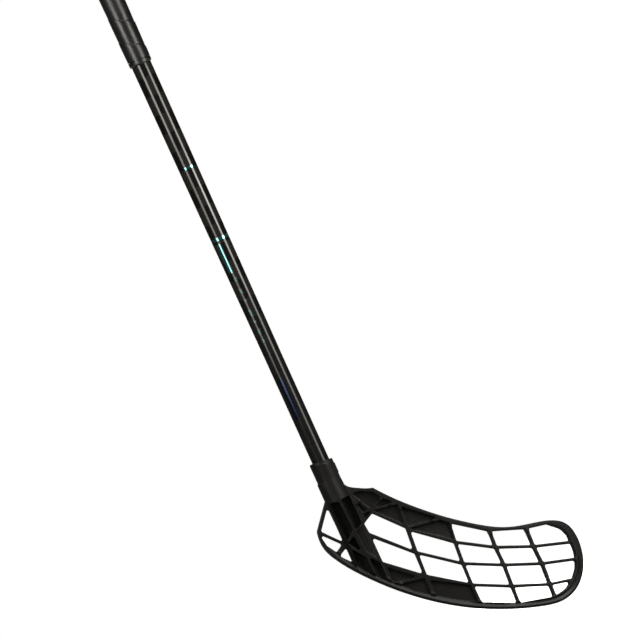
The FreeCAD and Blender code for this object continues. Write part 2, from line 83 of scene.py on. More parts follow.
Piece = bpy.types.Object
Finish = bpy.types.Material
Tree = bpy.types.NodeTree
Node = bpy.types.Node
Socket = bpy.types.NodeSocket
Sockets = bpy.types.bpy_prop_collection
Triple = tuple[float, float, float]
Colour = Triple
Number = Union[float, Socket]
Value = Union[Number, Colour, Vector]
Pair = tuple[float, float]
Pairs = tuple[Pair, ...]


class Body(Enum):
    """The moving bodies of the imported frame."""

    STICK = "stick"
    PLUG = "butt_plug"
    SCREW = "fixing_screw"


class Slot(Enum):
    """The record's material slots."""

    SHAFT = "shaft_lacquer"
    BLADE = "blade_plastic"
    GLUE = "hot_melt"
    SCREW = "screw_steel"
    GRIP = "grip_band"
    TAPE = "finish_tape"
    CAP = "cap_plastic"


def only(piece: Piece) -> None:
    """Deselect everything and make one piece the selected, active one.

    Args:
        piece: the object to work on.
    """
    bpy.ops.object.select_all(action="DESELECT")
    piece.select_set(True)
    bpy.context.view_layer.objects.active = piece


def enter(mode: str) -> None:
    """Put the active object in a mode."""
    bpy.ops.object.mode_set(mode=mode)


def apply_modifier(piece: Piece, kind: str, **settings: object) -> None:
    """Add a modifier to a piece, set it up and apply it.

    Args:
        piece: the object that takes the modifier.
        kind: the modifier's type.
        settings: the modifier's properties by name.
    """
    only(piece)
    modifier = piece.modifiers.new(kind.lower(), kind)
    for name, value in settings.items():
        setattr(modifier, name, value)
    bpy.ops.object.modifier_apply(modifier=modifier.name)


def smooth(piece: Piece, degrees: float) -> None:
    """Shade a piece smooth, with edges sharper than an angle left crisp.

    Args:
        piece: the object to shade.
        degrees: the angle between faces that stays an edge.
    """
    only(piece)
    bpy.ops.object.shade_smooth_by_angle(angle=math.radians(degrees))


def bevel(piece: Piece, width: float, segments: int, degrees: float) -> None:
    """Round the edges of a piece that are sharper than an angle.

    Args:
        piece: the object to round.
        width: how wide the rounding is.
        segments: how many faces it has across.
        degrees: the angle between faces from which an edge is rounded.
    """
    limit = math.radians(degrees)
    apply_modifier(piece, "BEVEL", width=width, segments=segments, limit_method="ANGLE", angle_limit=limit)


def turned(name: str, rings: Sequence[Pair], sides: int, closed: bool = False) -> Piece:
    """Raise a round piece ring by ring about Z, from a circle that is extruded and resized.

    Args:
        name: the piece's name.
        rings: radius and height of each ring, in order along the profile.
        sides: how many sides the circle has.
        closed: whether the last ring joins the first, as on a tube. If not, both ends are filled.

    Returns:
        The new object, at the origin.
    """
    radius, height = rings[0]
    fill = "NOTHING" if closed else "NGON"
    bpy.ops.mesh.primitive_circle_add(vertices=sides, radius=radius, fill_type=fill)
    piece = bpy.context.object
    piece.name = name
    piece.data.name = name
    enter("EDIT")
    bpy.ops.mesh.select_all(action="SELECT")
    bpy.ops.transform.translate(value=(0, 0, height))
    steps = list(rings[1:]) + ([rings[0]] if closed else [])
    for next_radius, next_height in steps:
        bpy.ops.mesh.extrude_region_move(
            MESH_OT_extrude_region={"use_dissolve_ortho_edges": False},
            TRANSFORM_OT_translate={"value": (0, 0, next_height - height)},
        )
        share = next_radius / radius
        bpy.ops.transform.resize(value=(share, share, 1), center_override=(0, 0, 0))
        radius, height = next_radius, next_height
    bpy.ops.mesh.select_all(action="SELECT")
    bpy.ops.mesh.remove_doubles(threshold=JOIN_DISTANCE)
    bpy.ops.mesh.normals_make_consistent(inside=False)
    enter("OBJECT")
    return piece


def wound(
    name: str, section: Sequence[Pair], pitch: float, turns: int, sides: int, low: float, high: float
) -> Piece:
    """Wind an open section round Z into a screw, and cut it level at both ends.

    Args:
        name: the piece's name.
        section: radius and height of each point of the section, which is one pitch tall.
        pitch: how far each turn climbs, negative for a winding that goes down.
        turns: how many turns are wound.
        sides: how many sides a turn has.
        low: the height of the lower cut.
        high: the height of the upper cut.

    Returns:
        The new closed object, at the origin.
    """
    bpy.ops.mesh.primitive_plane_add(size=abs(pitch))
    piece = bpy.context.object
    piece.name = name
    piece.data.name = name
    enter("EDIT")
    bpy.ops.mesh.select_all(action="SELECT")
    bpy.ops.mesh.merge(type="CENTER")
    radius, height = section[0]
    bpy.ops.transform.translate(value=(radius, 0, height))
    for next_radius, next_height in section[1:]:
        step = (next_radius - radius, 0, next_height - height)
        bpy.ops.mesh.extrude_vertices_move(TRANSFORM_OT_translate={"value": step})
        radius, height = next_radius, next_height
    enter("OBJECT")
    apply_modifier(
        piece, "SCREW", axis="Z", angle=2 * math.pi, screw_offset=pitch, iterations=turns,
        steps=sides, render_steps=sides, use_merge_vertices=True, merge_threshold=WELD_DISTANCE,
    )
    apply_modifier(piece, "WELD", merge_threshold=WELD_DISTANCE)
    only(piece)
    enter("EDIT")
    for level, outward in ((high, 1.0), (low, -1.0)):
        bpy.ops.mesh.select_all(action="SELECT")
        bpy.ops.mesh.bisect(
            plane_co=(0, 0, level), plane_no=(0, 0, outward), use_fill=True, clear_outer=True
        )
    bpy.ops.mesh.select_all(action="SELECT")
    bpy.ops.mesh.normals_make_consistent(inside=False)
    enter("OBJECT")
    return piece


def combine(piece: Piece, operation: str, tool: Piece) -> None:
    """Cut, join or trim a piece with a tool, and put the tool away.

    Args:
        piece: the object that is kept.
        operation: the Boolean's name.
        tool: the object that is used up.
    """
    apply_modifier(piece, "BOOLEAN", operation=operation, object=tool, solver="EXACT")
    bpy.data.objects.remove(tool)


def lay_along_y(piece: Piece, place: Vector) -> None:
    """Turn an upright piece so that its top points to +Y, and put its origin at a place.

    Args:
        piece: the object, upright at the origin.
        place: where its origin goes.
    """
    piece.matrix_world = Matrix.Translation(place) @ Matrix.Rotation(-math.pi / 2, 4, "X")
    only(piece)
    bpy.ops.object.transform_apply(location=True, rotation=True, scale=True)


class Board:
    """A node tree, with short calls that add nodes and link them."""

    def __init__(self, tree: Tree) -> None:
        """Keep the tree to work on."""
        self.tree = tree

    def node(self, kind: str, *values: Value, **settings: object) -> Node:
        """Add a node.

        Args:
            kind: the node's type name.
            values: what its first inputs get, in order.
            settings: properties of the node by name.

        Returns:
            The new node.
        """
        item = self.tree.nodes.new(kind)
        for name, value in settings.items():
            setattr(item, name, value)
        for socket, value in zip(item.inputs, values):
            self.feed(socket, value)
        return item

    def feed(self, target: Socket, value: Value) -> None:
        """Set a socket to a constant, or link another socket to it.

        Args:
            target: the input socket.
            value: a number, a colour, a vector or an output socket.
        """
        if isinstance(value, Socket):
            self.tree.links.new(value, target)
        elif target.type == "RGBA":
            target.default_value = (*value, 1.0)
        else:
            target.default_value = value

    def fill(self, item: Node, values: dict[str, Value]) -> None:
        """Set inputs of a node, or link other sockets to them.

        Args:
            item: the node.
            values: what its inputs get, by name.
        """
        for name, value in values.items():
            self.feed(item.inputs[name], value)

    def math(self, operation: str, first: Number, second: Number = 0.0, third: Number = 0.0) -> Socket:
        """Add a Math node.

        Args:
            operation: the operation's name.
            first: the first operand.
            second: the second operand, if any.
            third: the third operand, if any.

        Returns:
            The result's socket.
        """
        return self.node("ShaderNodeMath", first, second, third, operation=operation).outputs[0]

    def ramp(self, value: Number, low: float, high: float, start: float = 0.0, end: float = 1.0) -> Socket:
        """Map a range of values smoothly to another.

        Args:
            value: what is mapped.
            low: the value that gives start.
            high: the value that gives end.
            start: the result at low and below.
            end: the result at high and above.

        Returns:
            The result's socket.
        """
        item = self.node("ShaderNodeMapRange", value, low, high, start, end, interpolation_type="SMOOTHSTEP")
        return item.outputs[0]

    def mix(self, factor: Number, first: Value, second: Value, kind: str = "RGBA") -> Socket:
        """Mix two colours or two numbers.

        Args:
            factor: 0 gives the first and 1 the second.
            first: the first colour or number.
            second: the second colour or number.
            kind: RGBA for colours and FLOAT for numbers.

        Returns:
            The mixture's socket.
        """
        item = self.node("ShaderNodeMix", factor, data_type=kind)
        before, after, result = MIX_SOCKETS[kind]
        self.feed(item.inputs[before], first)
        self.feed(item.inputs[after], second)
        return item.outputs[result]

    def noise(self, vector: Socket, scale: Number, detail: float) -> Socket:
        """Add a noise texture.

        Args:
            vector: the place that it is read at.
            scale: how fine it is.
            detail: how many octaves it has.

        Returns:
            The value's socket.
        """
        item = self.node("ShaderNodeTexNoise", vector)
        self.fill(item, {"Scale": scale, "Detail": detail})
        return item.outputs["Fac"]

    def place(self) -> Socket:
        """The object coordinates of the surface, in metres."""
        return self.node("ShaderNodeTexCoord").outputs["Object"]

    def group(self, tree: Tree, **values: Value) -> Node:
        """Place a shared node group.

        Args:
            tree: the group.
            values: what its inputs get, by name.

        Returns:
            The group's node.
        """
        item = self.node("ShaderNodeGroup", node_tree=tree)
        self.fill(item, values)
        return item


def new_group(name: str, inputs: Sequence[str], outputs: Sequence[str]) -> tuple[Board, Sockets, Sockets]:
    """Start a shared shader node group.

    Args:
        name: the group's name.
        inputs: the sockets that go in. Place is a vector and the others are numbers.
        outputs: the sockets that come out.

    Returns:
        The group's board, its input sockets and its output sockets.
    """
    tree = bpy.data.node_groups.new(name, "ShaderNodeTree")
    for way, sockets in (("INPUT", inputs), ("OUTPUT", outputs)):
        for socket in sockets:
            kind = "NodeSocketVector" if socket == "Place" else "NodeSocketFloat"
            tree.interface.new_socket(socket, in_out=way, socket_type=kind)
    board = Board(tree)
    return board, board.node("NodeGroupInput").outputs, board.node("NodeGroupOutput").inputs


class Effects:
    """Shader node groups that several finishes share."""

    fibres_across: float = 60.0
    fibres_along: float = 2.0
    tow_edge: Pair = (0.46, 0.5)

    def __init__(self) -> None:
        """Build every group once."""
        self.around = self._around()
        self.grain = self._grain()
        self.tows = self._tows()
        self.patch = self._patch()

    def _around(self) -> Tree:
        """The place round the tube's axis: angle from the front and height.

        Returns:
            The group.
        """
        board, into, out = new_group("place_round_axis", ("Place",), ("Angle", "Height"))
        split = board.node("ShaderNodeSeparateXYZ", into["Place"])
        toward = board.math("MULTIPLY", split.outputs["Y"], -1.0)
        board.feed(out["Angle"], board.math("ARCTAN2", split.outputs["X"], toward))
        board.feed(out["Height"], split.outputs["Z"])
        return board.tree

    def _grain(self) -> Tree:
        """The fine grain of a moulded skin, with slow clouds of gloss over it.

        Returns:
            The group.
        """
        board, into, out = new_group("moulded_grain", ("Place", "Grain", "Clouds"), ("Height", "Cloud"))
        board.feed(out["Height"], board.noise(into["Place"], into["Grain"], detail=4.0))
        board.feed(out["Cloud"], board.noise(into["Place"], into["Clouds"], detail=2.0))
        return board.tree

    def _tows(self) -> Tree:
        """Flat woven tows round a tube: which tow lies on top, the fibres along it and its edges.

        Returns:
            The group.
        """
        names = ("Angle", "Height", "Start", "Foot", "Around", "Tow")
        board, into, out = new_group("woven_tows", names, ("Warp", "Fibre", "Edge"))
        turn = board.math("SUBTRACT", into["Angle"], into["Start"])
        across = board.math("MULTIPLY", turn, into["Around"])
        along = board.math("DIVIDE", board.math("SUBTRACT", into["Height"], into["Foot"]), into["Tow"])
        checks = board.math("ADD", board.math("FLOOR", across), board.math("FLOOR", along))
        warp = board.math("FLOORED_MODULO", checks, 2.0)
        board.feed(out["Warp"], warp)
        edges = []
        fibres = []
        stretch_across = (self.fibres_across, self.fibres_along)
        for line, stretch in ((across, stretch_across), (along, stretch_across[::-1])):
            part = board.math("SUBTRACT", board.math("FRACT", line), 0.5)
            edges.append(board.ramp(board.math("ABSOLUTE", part), *self.tow_edge))
            sides = [board.math("MULTIPLY", side, share) for side, share in zip((across, along), stretch)]
            spot = board.node("ShaderNodeCombineXYZ", *sides)
            fibres.append(board.noise(spot.outputs[0], scale=1.0, detail=2.0))
        board.feed(out["Edge"], board.math("MAXIMUM", *edges))
        board.feed(out["Fibre"], board.mix(warp, *fibres, kind="FLOAT"))
        return board.tree

    def _patch(self) -> Tree:
        """A foil patch on a tube, between two heights and two angles.

        Returns:
            The group.
        """
        names = ("Angle", "Height", "Low", "High", "Start", "End")
        board, into, out = new_group("foil_patch", names, ("Mask",))
        mask = 1.0
        for place, start, end in (("Height", "Low", "High"), ("Angle", "Start", "End")):
            for test, limit in (("GREATER_THAN", start), ("LESS_THAN", end)):
                mask = board.math("MULTIPLY", mask, board.math(test, into[place], into[limit]))
        board.feed(out["Mask"], mask)
        return board.tree


def new_finish(name: str) -> tuple[Finish, Board, Node]:
    """Start a material with a bare Principled shader.

    Args:
        name: the material's name.

    Returns:
        The material, its board and its shader.
    """
    material = bpy.data.materials.new(name)
    material.use_nodes = True
    board = Board(material.node_tree)
    return material, board, material.node_tree.nodes["Principled BSDF"]


def bump(board: Board, shader: Node, height: Socket, strength: float, distance: float) -> None:
    """Give a shader a bump from a height.

    Args:
        board: the material's board.
        shader: the Principled shader.
        height: the height's socket.
        strength: how strongly it shows.
        distance: the height of a full step, in metres.
    """
    item = board.node("ShaderNodeBump")
    board.fill(item, {"Strength": strength, "Distance": distance, "Height": height})
    board.feed(shader.inputs["Normal"], item.outputs[0])


@dataclass(frozen=True)
class FoilPatch:
    """One foil patch on the tube: heights above the throat in mm and angles from the front in degrees."""

    low: float
    high: float
    start: float = -181.0
    end: float = 181.0


@dataclass(frozen=True)
class ShaftLacquer:
    """Gloss lacquer over spread woven tows, with mint foil under it."""

    effects: Effects
    tow: float = 22.5 * MM
    tow_foot: float = 494.5 * MM
    tow_start: float = math.radians(-27.5)
    tows_around: float = 8.0 / (2 * math.pi)
    dark_tow: Colour = (0.0036, 0.0035, 0.003)
    pale_tow: Colour = (0.0175, 0.0168, 0.014)
    even_tow: Colour = (0.0085, 0.0084, 0.0075)
    fibre_swing: float = 0.12
    weave_fade: Pair = (THROAT + 120.0 * MM, THROAT + 300.0 * MM)
    faded_weave: float = 0.15
    mint: Colour = (0.26, 0.75, 0.7)
    blue: Colour = (0.08, 0.3, 0.5)
    dusk: Colour = (0.012, 0.035, 0.12)
    blue_to_mint: Pair = (math.radians(-75.0), math.radians(-20.0))
    patches: tuple[FoilPatch, ...] = (
        FoilPatch(317.8, 321.3),
        FoilPatch(404.2, 407.0, -27.0, 23.0),
        FoilPatch(279.0, 314.0, -50.0, -24.0),
    )
    dusk_patch: FoilPatch = FoilPatch(100.0, 150.0, -44.0, -18.0)
    tick_angles: Pair = (-32.0, -14.0)
    tick_heights: Pairs = (
        (268.0, 273.0), (254.0, 259.0), (243.0, 246.0), (226.0, 235.0),
        (218.0, 221.0), (204.0, 210.0), (194.0, 198.0),
    )
    tick_pitch: float = 1.7 * MM
    tick_strength: float = 0.3
    foil_metal: float = 0.95
    foil_roughness: float = 0.1
    tow_roughness: float = 0.4
    edge_roughness: float = 0.1
    edge_bump: float = 0.05
    edge_depth: float = 0.2 * MM
    tow_specular: float = 0.12
    coat_roughness: float = 0.1
    coat_index: float = 1.6

    def build(self) -> Finish:
        """Make the material.

        Returns:
            The finished material.
        """
        material, board, shader = new_finish(Slot.SHAFT.value)
        around = board.group(self.effects.around, Place=board.place()).outputs
        place = {name: around[name] for name in ("Angle", "Height")}
        tows = board.group(
            self.effects.tows, **place, Start=self.tow_start, Foot=THROAT + self.tow_foot,
            Around=self.tows_around, Tow=self.tow,
        )
        edge = tows.outputs["Edge"]
        fibre = board.ramp(tows.outputs["Fibre"], NOISE_LOW, NOISE_HIGH, -self.fibre_swing, self.fibre_swing)
        shade = board.math("ADD", board.math("SUBTRACT", 1.0, tows.outputs["Warp"]), fibre)
        woven = board.mix(shade, self.dark_tow, self.pale_tow)
        clear = board.ramp(place["Height"], *self.weave_fade, self.faded_weave, 1.0)
        composite = board.mix(clear, self.even_tow, woven)
        lines = board.math("FRACT", board.math("DIVIDE", place["Height"], self.tick_pitch))
        lines = board.math("MULTIPLY", board.math("GREATER_THAN", lines, 0.5), self.tick_strength)
        tick_patches = [FoilPatch(low, high, *self.tick_angles) for low, high in self.tick_heights]
        ticks = board.math("MULTIPLY", lines, self._mask(board, place, tick_patches))
        foil = board.math("MAXIMUM", self._mask(board, place, self.patches), ticks)
        dusk = self._mask(board, place, [self.dusk_patch])
        side = board.ramp(place["Angle"], *self.blue_to_mint)
        printed = board.mix(foil, composite, board.mix(side, self.blue, self.mint))
        metal = board.math("MULTIPLY", board.math("MAXIMUM", foil, dusk), self.foil_metal)
        rough = board.math("ADD", self.tow_roughness, board.math("MULTIPLY", edge, self.edge_roughness))
        rough = board.mix(metal, rough, self.foil_roughness, kind="FLOAT")
        board.fill(shader, {
            "Base Color": board.mix(dusk, printed, self.dusk),
            "Metallic": metal,
            "Roughness": rough,
            "Specular IOR Level": self.tow_specular,
            "Coat Weight": 1.0,
            "Coat Roughness": self.coat_roughness,
            "Coat IOR": self.coat_index,
        })
        bump(board, shader, board.math("MULTIPLY", edge, -1.0), self.edge_bump, self.edge_depth)
        return material

    def _mask(self, board: Board, place: dict[str, Socket], patches: Sequence[FoilPatch]) -> Socket:
        """The mask of several patches together.

        Args:
            board: the material's board.
            place: the angle's and the height's sockets by name.
            patches: where the foil lies.

        Returns:
            1 on the foil and 0 off it.
        """
        mask = None
        for patch in patches:
            item = board.group(
                self.effects.patch, **place,
                Low=THROAT + patch.low * MM, High=THROAT + patch.high * MM,
                Start=math.radians(patch.start), End=math.radians(patch.end),
            )
            found = item.outputs["Mask"]
            mask = found if mask is None else board.math("MAXIMUM", mask, found)
        return mask


@dataclass(frozen=True)
class CloudedFinish:
    """A finish whose colour and gloss drift in slow clouds, over a fine grain."""

    effects: Effects
    slot: Slot
    colour: Colour
    cloudy: Colour
    roughness: Pair
    grain: float
    clouds: float
    grain_bump: float
    grain_depth: float
    metallic: float = 0.0
    specular: float = 0.5
    subsurface: float = 0.0

    def build(self) -> Finish:
        """Make the material.

        Returns:
            The finished material.
        """
        material, board, shader = new_finish(self.slot.value)
        skin = board.group(self.effects.grain, Place=board.place(), Grain=self.grain, Clouds=self.clouds)
        cloud = skin.outputs["Cloud"]
        board.fill(shader, {
            "Base Color": board.mix(self._tone(board, cloud), self.colour, self.cloudy),
            "Roughness": board.ramp(cloud, NOISE_LOW, NOISE_HIGH, *self.roughness),
            "Metallic": self.metallic,
            "Specular IOR Level": self.specular,
            "Subsurface Weight": self.subsurface,
        })
        height = self._height(board, skin.outputs["Height"])
        bump(board, shader, height, self.grain_bump, self.grain_depth)
        return material

    def _tone(self, board: Board, cloud: Socket) -> Socket:
        """How far the colour goes to the cloudy one: here, as the clouds do."""
        return cloud

    def _height(self, board: Board, grain: Socket) -> Socket:
        """The height that the bump shows: here, the grain alone."""
        return grain


@dataclass(frozen=True)
class MouldedPlastic(CloudedFinish):
    """Satin moulded plastic, paler along its sharp edges: a painted edge highlight, together with rubbed
    wear.
    """

    grain: float = 2600.0
    clouds: float = 28.0
    grain_bump: float = 0.1
    grain_depth: float = 0.03 * MM
    specular: float = 0.2
    # Pointiness over which sharp edges turn paler: painted edge highlight and rubbed wear.
    lit_and_rubbed_edge: Pair = (0.515, 0.6)
    cloud_lift: float = 0.5

    def _tone(self, board: Board, cloud: Socket) -> Socket:
        """Painted edge highlights, with rubbed wear, where the edges are sharp; more so under a cloud.

        Args:
            board: the material's board.
            cloud: the clouds' socket.

        Returns:
            The factor's socket.
        """
        # Sharp edges move toward the cloudy colour: a painted highlight, with some rubbed wear.
        pointed = board.node("ShaderNodeNewGeometry").outputs["Pointiness"]
        edge = board.ramp(pointed, *self.lit_and_rubbed_edge)
        return board.math("MULTIPLY", board.math("ADD", cloud, self.cloud_lift), edge)


@dataclass(frozen=True)
class GripBand(CloudedFinish):
    """Soft satin band with fine pores."""

    colour: Colour = (0.005, 0.0049, 0.0046)
    cloudy: Colour = (0.009, 0.0088, 0.0082)
    roughness: Pair = (0.32, 0.38)
    grain: float = 1500.0
    clouds: float = 45.0
    grain_bump: float = 0.08
    grain_depth: float = 0.03 * MM
    specular: float = 0.85
    pore_reach: float = 0.45

    def _height(self, board: Board, grain: Socket) -> Socket:
        """The grain with the pores sunk into it.

        Args:
            board: the material's board.
            grain: the grain's socket.

        Returns:
            The height's socket.
        """
        pore = board.node("ShaderNodeTexVoronoi", board.place())
        board.fill(pore, {"Scale": self.grain})
        pits = board.ramp(pore.outputs["Distance"], 0.0, self.pore_reach)
        return board.math("ADD", pits, grain)


@dataclass(frozen=True)
class ScrewSteel(CloudedFinish):
    """Zinc-plated steel, stained in places."""

    slot: Slot = Slot.SCREW
    colour: Colour = (0.5, 0.5, 0.52)
    cloudy: Colour = (0.32, 0.31, 0.3)
    roughness: Pair = (0.26, 0.42)
    grain: float = 4000.0
    clouds: float = 500.0
    grain_bump: float = 0.1
    grain_depth: float = 0.05 * MM
    metallic: float = 1.0


@dataclass(frozen=True)
class HotMelt(CloudedFinish):
    """Cloudy amber glue."""

    slot: Slot = Slot.GLUE
    colour: Colour = (0.6, 0.42, 0.18)
    cloudy: Colour = (0.72, 0.6, 0.38)
    roughness: Pair = (0.3, 0.5)
    grain: float = 900.0
    clouds: float = 180.0
    grain_bump: float = 0.15
    grain_depth: float = 0.1 * MM
    subsurface: float = 0.3


def settle(piece: Piece, body: Body, slot: Slot, finish: Finish, *nodes: str) -> None:
    """Dress a new piece and put it on its body in place of CAD nodes.

    Args:
        piece: the new object.
        body: the body that it rides on.
        slot: the record's material slot. It is not used.
        finish: its material.
        nodes: the CAD nodes that it stands for.
    """
    piece.data.materials.clear()
    piece.data.materials.append(finish)
    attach(piece, body.value)
    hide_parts(*nodes)
    LOG.info("%s: %d faces on %s", piece.name, len(piece.data.polygons), body.value)


@dataclass
class Shaft:
    """The lacquered tube: straight in the socket, tapered above it, straight again under the grip."""

    finish: Finish
    wall: float = 1.4 * MM
    foot_radius: float = 9.92 * MM
    foot_to_taper: float = 160.0 * MM
    taper_length: float = 358.0 * MM
    rim_round: float = 0.35 * MM
    rim_degrees: float = 60.0
    rim_hold: float = 1.0 * MM
    hole_radius: float = 1.85 * MM
    sides: int = 128
    hole_sides: int = 48
    crisp_degrees: float = 35.0

    def build(self) -> None:
        """Model the tube and dress it."""
        low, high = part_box("shaft_tube")
        taper_foot = low.z + self.foot_to_taper
        taper_top = taper_foot + self.taper_length
        outside = [
            (self.foot_radius, low.z),
            (self.foot_radius, low.z + self.rim_hold),
            (self.foot_radius, taper_foot),
            (SEAT_RADIUS, taper_top),
            (SEAT_RADIUS, high.z - self.rim_hold),
            (SEAT_RADIUS, high.z),
        ]
        inside = [(radius - self.wall, height) for radius, height in reversed(outside)]
        tube = turned("tube", outside + inside, self.sides, closed=True)
        bevel(tube, self.rim_round, segments=2, degrees=self.rim_degrees)
        drill_rings = [(self.hole_radius, 0), (self.hole_radius, 2 * self.foot_radius)]
        drill = turned("drill_tool", drill_rings, self.hole_sides)
        lay_along_y(drill, Vector((0, 0, SCREW_LEVEL)))
        combine(tube, "DIFFERENCE", drill)
        smooth(tube, self.crisp_degrees)
        settle(tube, Body.STICK, Slot.SHAFT, self.finish, "shaft_tube")


@dataclass
class Blade:
    """The moulded lattice blade, with every corner softened as a mould leaves it."""

    finish: Finish
    weld: float = 0.002 * MM
    voxel: float = 0.38 * MM
    soften_passes: int = 8
    soften_share: float = 0.5
    face_limit: int = 190000
    crisp_degrees: float = 60.0
    collar_heights: Pair = (-776.0 * MM, -748.0 * MM)
    collar_halves: tuple[float, ...] = (11.0 * MM, 10.0 * MM, 9.0 * MM, 8.0 * MM)
    collar_passes: int = 12
    collar_share: float = 0.5
    sole_step: float = 0.5 * MM
    sole_average: int = 9
    sole_profile: Pairs = (
        (0.0, 3.8 * MM), (2.4 * MM, 5.0 * MM), (6.5 * MM, 2.65 * MM), (7.1 * MM, 6.0 * MM),
    )
    steepest: float = 2.0
    hook_start: float = 40.0 * MM
    hook_radius: float = 610.0 * MM

    def build(self) -> None:
        """Model the blade from a merged copy of its solid, and dress it."""
        blade = bpy.data.objects.new("lattice_blade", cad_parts["blade"].data.copy())
        bpy.context.scene.collection.objects.link(blade)
        apply_modifier(blade, "WELD", merge_threshold=self.weld)
        voxel = self.voxel
        apply_modifier(blade, "REMESH", mode="VOXEL", voxel_size=voxel)
        self._slope_sole(blade)
        apply_modifier(blade, "REMESH", mode="VOXEL", voxel_size=voxel)
        apply_modifier(blade, "SMOOTH", factor=self.soften_share, iterations=self.soften_passes)
        triangles = sum(len(face.vertices) - 2 for face in blade.data.polygons)
        if triangles > self.face_limit:
            apply_modifier(blade, "DECIMATE", ratio=self.face_limit / triangles)
        self._blend_collar(blade)
        smooth(blade, self.crisp_degrees)
        settle(blade, Body.STICK, Slot.BLADE, self.finish, "blade")

    def _blend_collar(self, blade: Piece) -> None:
        """Smooth the socket's front, where the collar runs into it without a line, less so to its sides.

        Args:
            blade: the remeshed blade.
        """
        only(blade)
        low, high = self.collar_heights
        enter("EDIT")
        bpy.ops.mesh.select_mode(type="VERT")
        for half in self.collar_halves:
            bpy.ops.mesh.select_all(action="DESELECT")
            enter("OBJECT")
            for vertex in blade.data.vertices:
                place = vertex.co
                vertex.select = place.y < 0 and low < place.z < high and abs(place.x) < half
            enter("EDIT")
            bpy.ops.mesh.vertices_smooth(factor=self.collar_share, repeat=self.collar_passes)
        enter("OBJECT")

    def _slope_sole(self, blade: Piece) -> None:
        """Slope the sole's front back from a ridge near its lower edge, less so where the sole is steep.

        The profile gives heights above the edge and depths in front of the blade's middle surface.

        Args:
            blade: the remeshed blade.
        """
        flat = np.empty(3 * len(blade.data.vertices), dtype=np.float32)
        blade.data.vertices.foreach_get("co", flat)
        across, deep, up = flat.reshape(-1, 3).T
        columns = np.floor(across / self.sole_step).astype(int)
        first = columns.min()
        lowest = np.full(columns.max() - first + 1, np.inf)
        np.minimum.at(lowest, columns - first, up)
        middles = (np.arange(len(lowest)) + first + 0.5) * self.sole_step
        window = np.full(self.sole_average, 1 / self.sole_average)
        steep = np.convolve(np.gradient(lowest, self.sole_step), window, "same")
        slope = np.interp(across, middles, steep)
        height = (up - np.interp(across, middles, lowest)) / np.hypot(1.0, slope)
        bend = np.maximum(across - self.hook_start, 0.0)
        middle = self.hook_radius - np.sqrt(self.hook_radius ** 2 - bend ** 2)
        profile_heights, profile_depths = zip(*self.sole_profile)
        limit = middle - np.interp(height, profile_heights, profile_depths)
        share = np.clip(self.steepest - np.abs(slope), 0.0, 1.0)
        front = (deep < middle) & (deep < limit) & (height < profile_heights[-1])
        deep[front] += (share * (limit - deep))[front]
        blade.data.vertices.foreach_set("co", flat)
        blade.data.update()


@dataclass
class Grip:
    """The wound band and the tape ring that closes it."""

    band_finish: Finish
    tape_finish: Finish
    pitch: float = 29.0 * MM
    seam_height: float = -234.0 * MM
    seam_share: float = 0.75
    spare_turns: int = 3
    clearance: float = 0.05 * MM
    thin: float = 1.55 * MM
    thick: float = 1.95 * MM
    sides: int = 96
    ring_thickness: float = 1.65 * MM
    ring_round: float = 0.3 * MM
    ring_degrees: float = 30.0
    ring_ease: float = 0.15 * MM
    lip_share: float = 0.55
    lip_height_shares: Pair = (0.2, 0.5)
    crisp_degrees: float = 50.0
    section_shares: Pairs = (
        (0.0, -0.3), (0.015, -0.22), (0.035, -0.1), (0.06, -0.02), (0.09, 0.03), (0.2, 0.2), (0.4, 0.48),
        (0.6, 0.72), (0.8, 0.92), (0.88, 1.0), (0.92, 0.99), (0.95, 0.9),
        (0.975, 0.6), (0.99, 0.1), (1.0, -0.3),
    )

    def build(self) -> None:
        """Model the band and the ring, and dress them."""
        self._band()
        self._ring()

    def _band(self) -> None:
        """Wind the band from its section, trim both ends and bore it."""
        low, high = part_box("grip_wrap")
        inner = SEAT_RADIUS + self.clearance
        span = self.thick - self.thin
        turns = math.ceil((high.z - low.z) / self.pitch) + self.spare_turns
        start = self.seam_height + self.seam_share * self.pitch
        while start < high.z + self.pitch:
            start += self.pitch
        section = [
            (inner + self.thin + proud * span, start + along * self.pitch)
            for along, proud in self.section_shares
        ]
        band = wound("wound_band", section, -self.pitch, turns, self.sides, low.z, high.z)
        bore = turned("bore_tool", [(inner, low.z - self.pitch), (inner, high.z + self.pitch)], self.sides)
        combine(band, "DIFFERENCE", bore)
        smooth(band, self.crisp_degrees)
        settle(band, Body.STICK, Slot.GRIP, self.band_finish, "grip_wrap")

    def _ring(self) -> None:
        """Turn the tape ring with a tapered lower lip."""
        low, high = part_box("grip_finish_band")
        inner = SEAT_RADIUS + self.clearance
        outer = inner + self.ring_thickness
        lip, full = (low.z + share * (high.z - low.z) for share in self.lip_height_shares)
        ring = turned("tape_ring", [
            (inner, low.z),
            (inner + self.lip_share * self.ring_thickness, low.z),
            (outer - self.ring_ease, lip),
            (outer, full),
            (outer, high.z),
            (inner, high.z),
        ], self.sides, closed=True)
        bevel(ring, self.ring_round, segments=3, degrees=self.ring_degrees)
        smooth(ring, self.crisp_degrees)
        settle(ring, Body.STICK, Slot.TAPE, self.tape_finish, "grip_finish_band")


